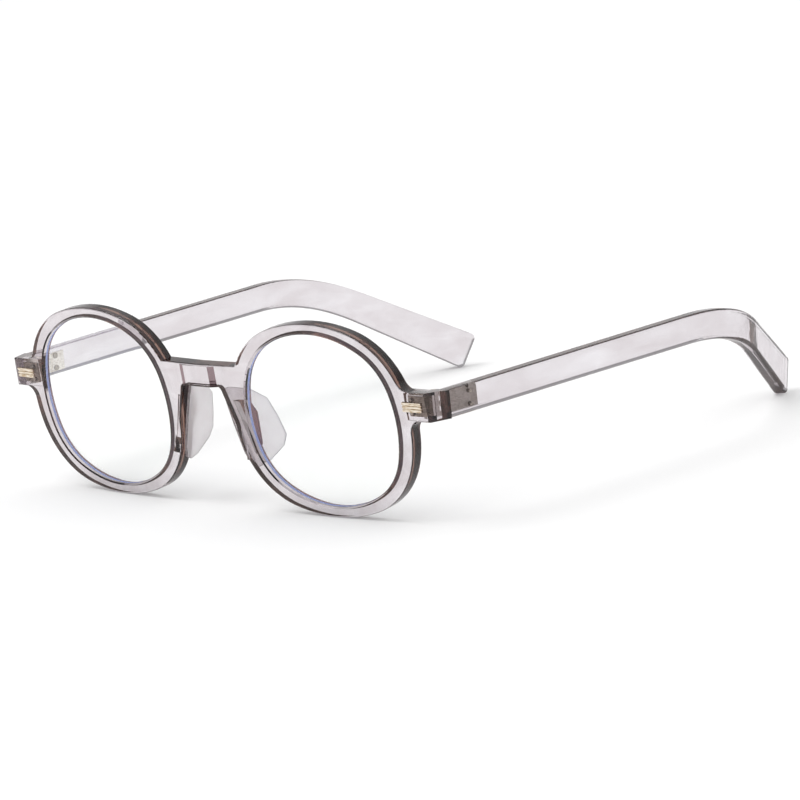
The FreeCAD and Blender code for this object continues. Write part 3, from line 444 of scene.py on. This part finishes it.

# %% [markdown]
# The rim of a pad gets a painted shade, darker than its face: there one looks along the plastic.

# %% Painted shade on the pad rim
MOTTLE_SIZE = 0.5 * MM
pad_rim, tree = new_tree("pad_edge_painted_shade")
spot = add(tree, "ShaderNodeTexCoord").outputs["Object"]
mottle = add(tree, "ShaderNodeTexNoise", {"Vector": spot, "Scale": 1 / MOTTLE_SIZE, "Detail": 3.0})
tint = add(tree, "ShaderNodeValToRGB", {"Fac": mottle.outputs["Fac"]})
# Painted shade: the rim's tones, darker than the pad's face.
for element, (position, code) in zip(tint.color_ramp.elements, ((0.35, "#6E6466"), (0.70, "#9C9294"))):
    element.position, element.color = position, linear(code)
surface = add(tree, "ShaderNodeBsdfPrincipled", {
    "Base Color": tint.outputs["Color"], "Roughness": 0.35, "IOR": 1.45, "Transmission Weight": 0.3})
add(tree, "ShaderNodeOutputMaterial", {"Surface": surface.outputs["BSDF"]})
print("rim material:", pad_rim.name)

# %% [markdown]
# A pad is a thin leaf that leans against the side of the nose. Its outline is drawn on the plane of
# the leaf, as distances along the nose and up it. A circle with as many corners is put on that
# outline, extruded to the pad's thickness, bevelled, and rounded by subdivision.

# %% Model the pads
PAD_SPOT = (8.35, -68.54, 19.88)
PAD_SPLAY, PAD_LEAN = math.radians(16), math.radians(15)
PAD_TURN = Matrix.Rotation(-PAD_SPLAY, 3, "Z") @ Matrix.Rotation(-PAD_LEAN, 3, "Y")
PAD_THICK = 0.8 * MM
PAD_BEVEL = 0.28 * MM
PAD_OUTLINE = (
    (-3.7, 9.2), (-0.8, 9.5), (3.2, 8.3), (7.6, 5.0), (9.3, 0.3), (10.4, -4.2), (9.2, -6.6),
    (4.4, -9.6), (1.4, -10.2), (-0.7, -9.4), (-1.9, -6.5), (-3.0, 0.5), (-3.7, 6.6),
)


def soft_pad(side, hand):
    """The leaf of one nose pad."""
    bpy.ops.object.select_all(action="DESELECT")
    bpy.ops.mesh.primitive_circle_add(vertices=len(PAD_OUTLINE), radius=MM, fill_type="NGON")
    pad = bpy.context.active_object
    pad.name = pad.data.name = "soft_pad_" + side
    for vertex, (along, rise) in zip(pad.data.vertices, PAD_OUTLINE):
        spot = Vector(PAD_SPOT) * MM + PAD_TURN @ (Vector((0, along, rise)) * MM)
        vertex.co = Vector((hand * spot.x, spot.y, spot.z))
    out = PAD_TURN @ Vector((PAD_THICK, 0, 0))
    bpy.ops.object.mode_set(mode="EDIT")
    bpy.ops.mesh.select_all(action="SELECT")
    bpy.ops.mesh.extrude_region_move(TRANSFORM_OT_translate={"value": (hand * out.x, out.y, out.z)})
    bpy.ops.mesh.select_all(action="SELECT")
    bpy.ops.mesh.normals_make_consistent(inside=False)
    bpy.ops.mesh.bevel(offset=PAD_BEVEL, segments=2, affect="EDGES")
    bpy.ops.object.mode_set(mode="OBJECT")
    rounder = pad.modifiers.new("rounded", "SUBSURF")
    rounder.levels = rounder.render_levels = 2
    bpy.ops.object.modifier_apply(modifier=rounder.name)
    bpy.ops.object.shade_smooth()
    return pad


pads = {side: soft_pad(side, hand) for side, hand in HANDS.items()}
print("pads:", {pad.name: len(pad.data.polygons) for pad in pads.values()})

# %% [markdown]
# The pads ride on the front and take the place of the solid ones. The faces that look away from
# the axis of the leaf are its rim.

# %% Dress the pads
RIM_LEAN = 0.93
for side, pad in pads.items():
    axis = PAD_TURN @ Vector((1, 0, 0))
    axis.x *= HANDS[side]
    pad.data.materials.append(pad_skin)
    pad.data.materials.append(pad_rim)
    for face in pad.data.polygons:
        face.material_index = int(abs(face.normal.dot(axis)) < RIM_LEAN)
    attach(pad, "front")
    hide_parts("nose_pad_" + side)
    print(pad.name, "rim faces:", sum(face.material_index for face in pad.data.polygons))

# %% [markdown]
# The plaques are stamped from thin plated sheet, pale gold in two tones.
# The hinges are milled nickel silver, and the screws and rivets are plain steel. Each is a metal
# with its own colour, with fine marks of the tool that made it.

# %% Worked metal
MARK_HEIGHT = 0.02 * MM


def metal(name, pale, dark, roughness, mark_size, stretch):
    """A worked metal: two tones and fine tool marks, drawn out along one axis."""
    material, tree = new_tree(name)
    spot = add(tree, "ShaderNodeTexCoord").outputs["Object"]
    drawn = add(tree, "ShaderNodeMapping", {"Vector": spot, "Scale": stretch})
    marks = add(tree, "ShaderNodeTexNoise", {
        "Vector": drawn.outputs["Vector"], "Scale": 1 / mark_size, "Detail": 3.0})
    tone = add(tree, "ShaderNodeValToRGB", {"Fac": marks.outputs["Fac"]})
    for element, (position, code) in zip(tone.color_ramp.elements, ((0.35, dark), (0.60, pale))):
        element.position, element.color = position, linear(code)
    wear = add(tree, "ShaderNodeMapRange", {
        "Value": marks.outputs["Fac"], "To Min": roughness * 0.7, "To Max": roughness * 1.4})
    bump = add(tree, "ShaderNodeBump", {
        "Height": marks.outputs["Fac"], "Strength": 0.25, "Distance": MARK_HEIGHT})
    surface = add(tree, "ShaderNodeBsdfPrincipled", {
        "Base Color": tone.outputs["Color"], "Metallic": 1.0, "Roughness": wear.outputs["Result"],
        "Normal": bump.outputs["Normal"]})
    add(tree, "ShaderNodeOutputMaterial", {"Surface": surface.outputs["BSDF"]})
    return material


plaque_metal = metal("stamped_plaque_pale_gold", "#E9DFD0", "#B9A283", 0.22, 0.25 * MM, (0.2, 1.0, 1.0))
hinge_metal = metal("milled_nickel_silver", "#FAF6F0", "#CFC8BE", 0.55, 0.20 * MM, (0.3, 0.3, 1.0))
screw_metal = metal("turned_steel_screw", "#C9C7C5", "#77736F", 0.25, 0.15 * MM, (1.0, 1.0, 0.2))
rivet_metal = metal("cut_steel_rivet", "#BDB4A2", "#6F675C", 0.30, 0.20 * MM, (1.0, 1.0, 1.0))
print("metals:", plaque_metal.name, hinge_metal.name, screw_metal.name, rivet_metal.name)

# %% [markdown]
# Every fitting is named by its side, so one loop dresses both sides.

# %% Dress the fittings
for side in HANDS:
    dress(["plaque_" + side], plaque_metal)
    dress(["front_hinge_leaf_" + side, "temple_hinge_leaf_" + side], hinge_metal)
    dress(["hinge_screw_" + side], screw_metal)
    for end in ("front", "temple"):
        dress(["%s_rivet_%s_%s" % (end, side, level) for level in ("upper", "lower")], rivet_metal)
    print("fittings dressed:", side)

# %% [markdown]
# The glasses stand on a plain white table. The table's own colour is pale, and where the camera,
# a reflection or the clear plastic sees it, it glows a little, so that it comes out white and
# still keeps the shadow.

# %% The floor
FLOOR_HALF = 4.0
FLOOR_DROP = 0.05 * MM
FLOOR_GLOW = 0.12
bpy.ops.mesh.primitive_plane_add(size=2 * FLOOR_HALF, location=(0, 0, -FLOOR_DROP))
floor = bpy.context.active_object
floor.name = "floor"
bpy.ops.object.mode_set(mode="EDIT")
bpy.ops.mesh.select_all(action="SELECT")
bpy.ops.mesh.inset(thickness=0.5)
bpy.ops.object.mode_set(mode="OBJECT")
white_table, tree = new_tree("white_table")
rays = add(tree, "ShaderNodeLightPath").outputs
seen = add(tree, "ShaderNodeMath", {0: rays["Is Camera Ray"], 1: rays["Is Glossy Ray"]}, operation="MAXIMUM")
seen = add(tree, "ShaderNodeMath", {0: seen.outputs[0], 1: rays["Is Transmission Ray"]}, operation="MAXIMUM")
glow = add(tree, "ShaderNodeMath", {0: seen.outputs[0], 1: FLOOR_GLOW}, operation="MULTIPLY")
surface = add(tree, "ShaderNodeBsdfPrincipled", {
    "Base Color": linear("#E6E6E6"), "Roughness": 0.9, "Specular IOR Level": 0.0,
    "Emission Color": linear("#FFFFFF"), "Emission Strength": glow.outputs[0]})
add(tree, "ShaderNodeOutputMaterial", {"Surface": surface.outputs["BSDF"]})
floor.data.materials.append(white_table)
print("floor half size:", FLOOR_HALF)

# %% [markdown]
# Clear plastic shows its shape only through what it bends into view. A studio for glass has a white
# back, a bright ceiling and a dark zone between them. The world does all three by the height of a
# ray: rays that went through the plastic see the dark zone, and all others a softer one. The camera
# itself sees plain white.

# %% The world
BENT_ZONES = ((0.0, 1.0), (0.07, 1.0), (0.13, 0.38), (0.86, 0.38), (0.94, 1.0), (1.0, 1.0))
SOFT_ZONES = ((0.0, 1.0), (0.14, 1.0), (0.30, 0.75), (0.45, 0.55), (0.60, 1.0), (1.0, 1.0))
world = bpy.data.worlds.new("studio")
bpy.context.scene.world = world
world.use_nodes = True
tree = world.node_tree
tree.nodes.clear()
direction = add(tree, "ShaderNodeTexCoord").outputs["Generated"]
height = add(tree, "ShaderNodeSeparateXYZ", {"Vector": direction}).outputs["Z"]
tones = []
for zones in (SOFT_ZONES, BENT_ZONES):
    ramp = add(tree, "ShaderNodeValToRGB", {"Fac": height})
    ramp.color_ramp.elements[0].color = (zones[0][1],) * 3 + (1.0,)
    ramp.color_ramp.elements[1].color = (zones[-1][1],) * 3 + (1.0,)
    for place, tone in zones[1:-1]:
        ramp.color_ramp.elements.new(place).color = (tone, tone, tone, 1.0)
    tones.append(ramp.outputs["Color"])
rays = add(tree, "ShaderNodeLightPath").outputs
by_ray = add(tree, "ShaderNodeMix", {
    0: rays["Is Transmission Ray"], 6: tones[0], 7: tones[1]}, data_type="RGBA")
studio = add(tree, "ShaderNodeBackground", {"Color": by_ray.outputs[2], "Strength": 1.0})
backdrop = add(tree, "ShaderNodeBackground", {"Color": linear("#FFFFFF"), "Strength": 1.0})
both = add(tree, "ShaderNodeMixShader", {
    0: rays["Is Camera Ray"], 1: studio.outputs[0], 2: backdrop.outputs[0]})
add(tree, "ShaderNodeOutputWorld", {"Surface": both.outputs[0]})
print("world:", world.name, "zones:", len(BENT_ZONES))

# %% [markdown]
# One large soft lamp above and to the left of the camera gives the shadow under the glasses.

# %% The lamp
LAMP_SIZE = 1.2
LAMP_POWER = 12.0
LAMP_SPOT = (-0.6, -0.5, 1.6)
key = bpy.data.lights.new("softbox", "AREA")
key.shape = "SQUARE"
key.size = LAMP_SIZE
key.energy = LAMP_POWER
softbox = bpy.data.objects.new("softbox", key)
bpy.context.scene.collection.objects.link(softbox)
softbox.location = LAMP_SPOT
softbox.rotation_euler = (-softbox.location).to_track_quat("-Z", "Y").to_euler()
softbox.visible_camera = False
print("lamp power:", key.energy)

# %% [markdown]
# The camera stands about 1.1 m away, at the height of the eyes of somebody who looks a little down
# at the table, turned 44 degrees to the wearer's left, with a long lens. It leans slightly, as in
# the photograph, and a tiny shift puts the glasses in their place.

# %% The camera
AZIMUTH = math.radians(44.242)
ELEVATION = math.radians(11.469)
ROLL = math.radians(-5.843)
DISTANCE = 1127.05 * MM
TARGET = Vector((21.687, -30.619, 18.533)) * MM
FOCAL_PIXELS = 4811.9
IMAGE_PIXELS = 800
PRINCIPAL = (-0.553, -1.492)

flat = math.cos(ELEVATION)
back = Vector((math.sin(AZIMUTH) * flat, -math.cos(AZIMUTH) * flat, math.sin(ELEVATION)))
right = (-back).cross(Vector((0, 0, 1))).normalized()
up = right.cross(-back)
leaned_right = math.cos(ROLL) * right + math.sin(ROLL) * up
leaned_up = -math.sin(ROLL) * right + math.cos(ROLL) * up
lens = bpy.data.cameras.new("camera")
lens.sensor_width = 36.0
lens.lens = FOCAL_PIXELS * lens.sensor_width / IMAGE_PIXELS
lens.shift_x = -PRINCIPAL[0] / IMAGE_PIXELS
lens.shift_y = PRINCIPAL[1] / IMAGE_PIXELS
lens.clip_start = 0.05
camera = bpy.data.objects.new("camera", lens)
bpy.context.scene.collection.objects.link(camera)
turn = Matrix((leaned_right, leaned_up, back)).transposed().to_4x4()
camera.matrix_world = Matrix.Translation(TARGET + back * DISTANCE) @ turn
bpy.context.scene.camera = camera
print("camera at", tuple(round(v / MM) for v in camera.location), "mm, lens", round(lens.lens, 1), "mm")

# %% [markdown]
# Colours are shown as they are, with no film look. Light may pass through many clear walls before
# it is given up.

# %% Colours and bounces
bpy.context.scene.view_settings.view_transform = "Standard"
bpy.context.scene.cycles.max_bounces = 32
bpy.context.scene.cycles.glossy_bounces = 16
bpy.context.scene.cycles.transmission_bounces = 32
print("bounces:", bpy.context.scene.cycles.max_bounces)

# %% Close the scene
print("scene set up")
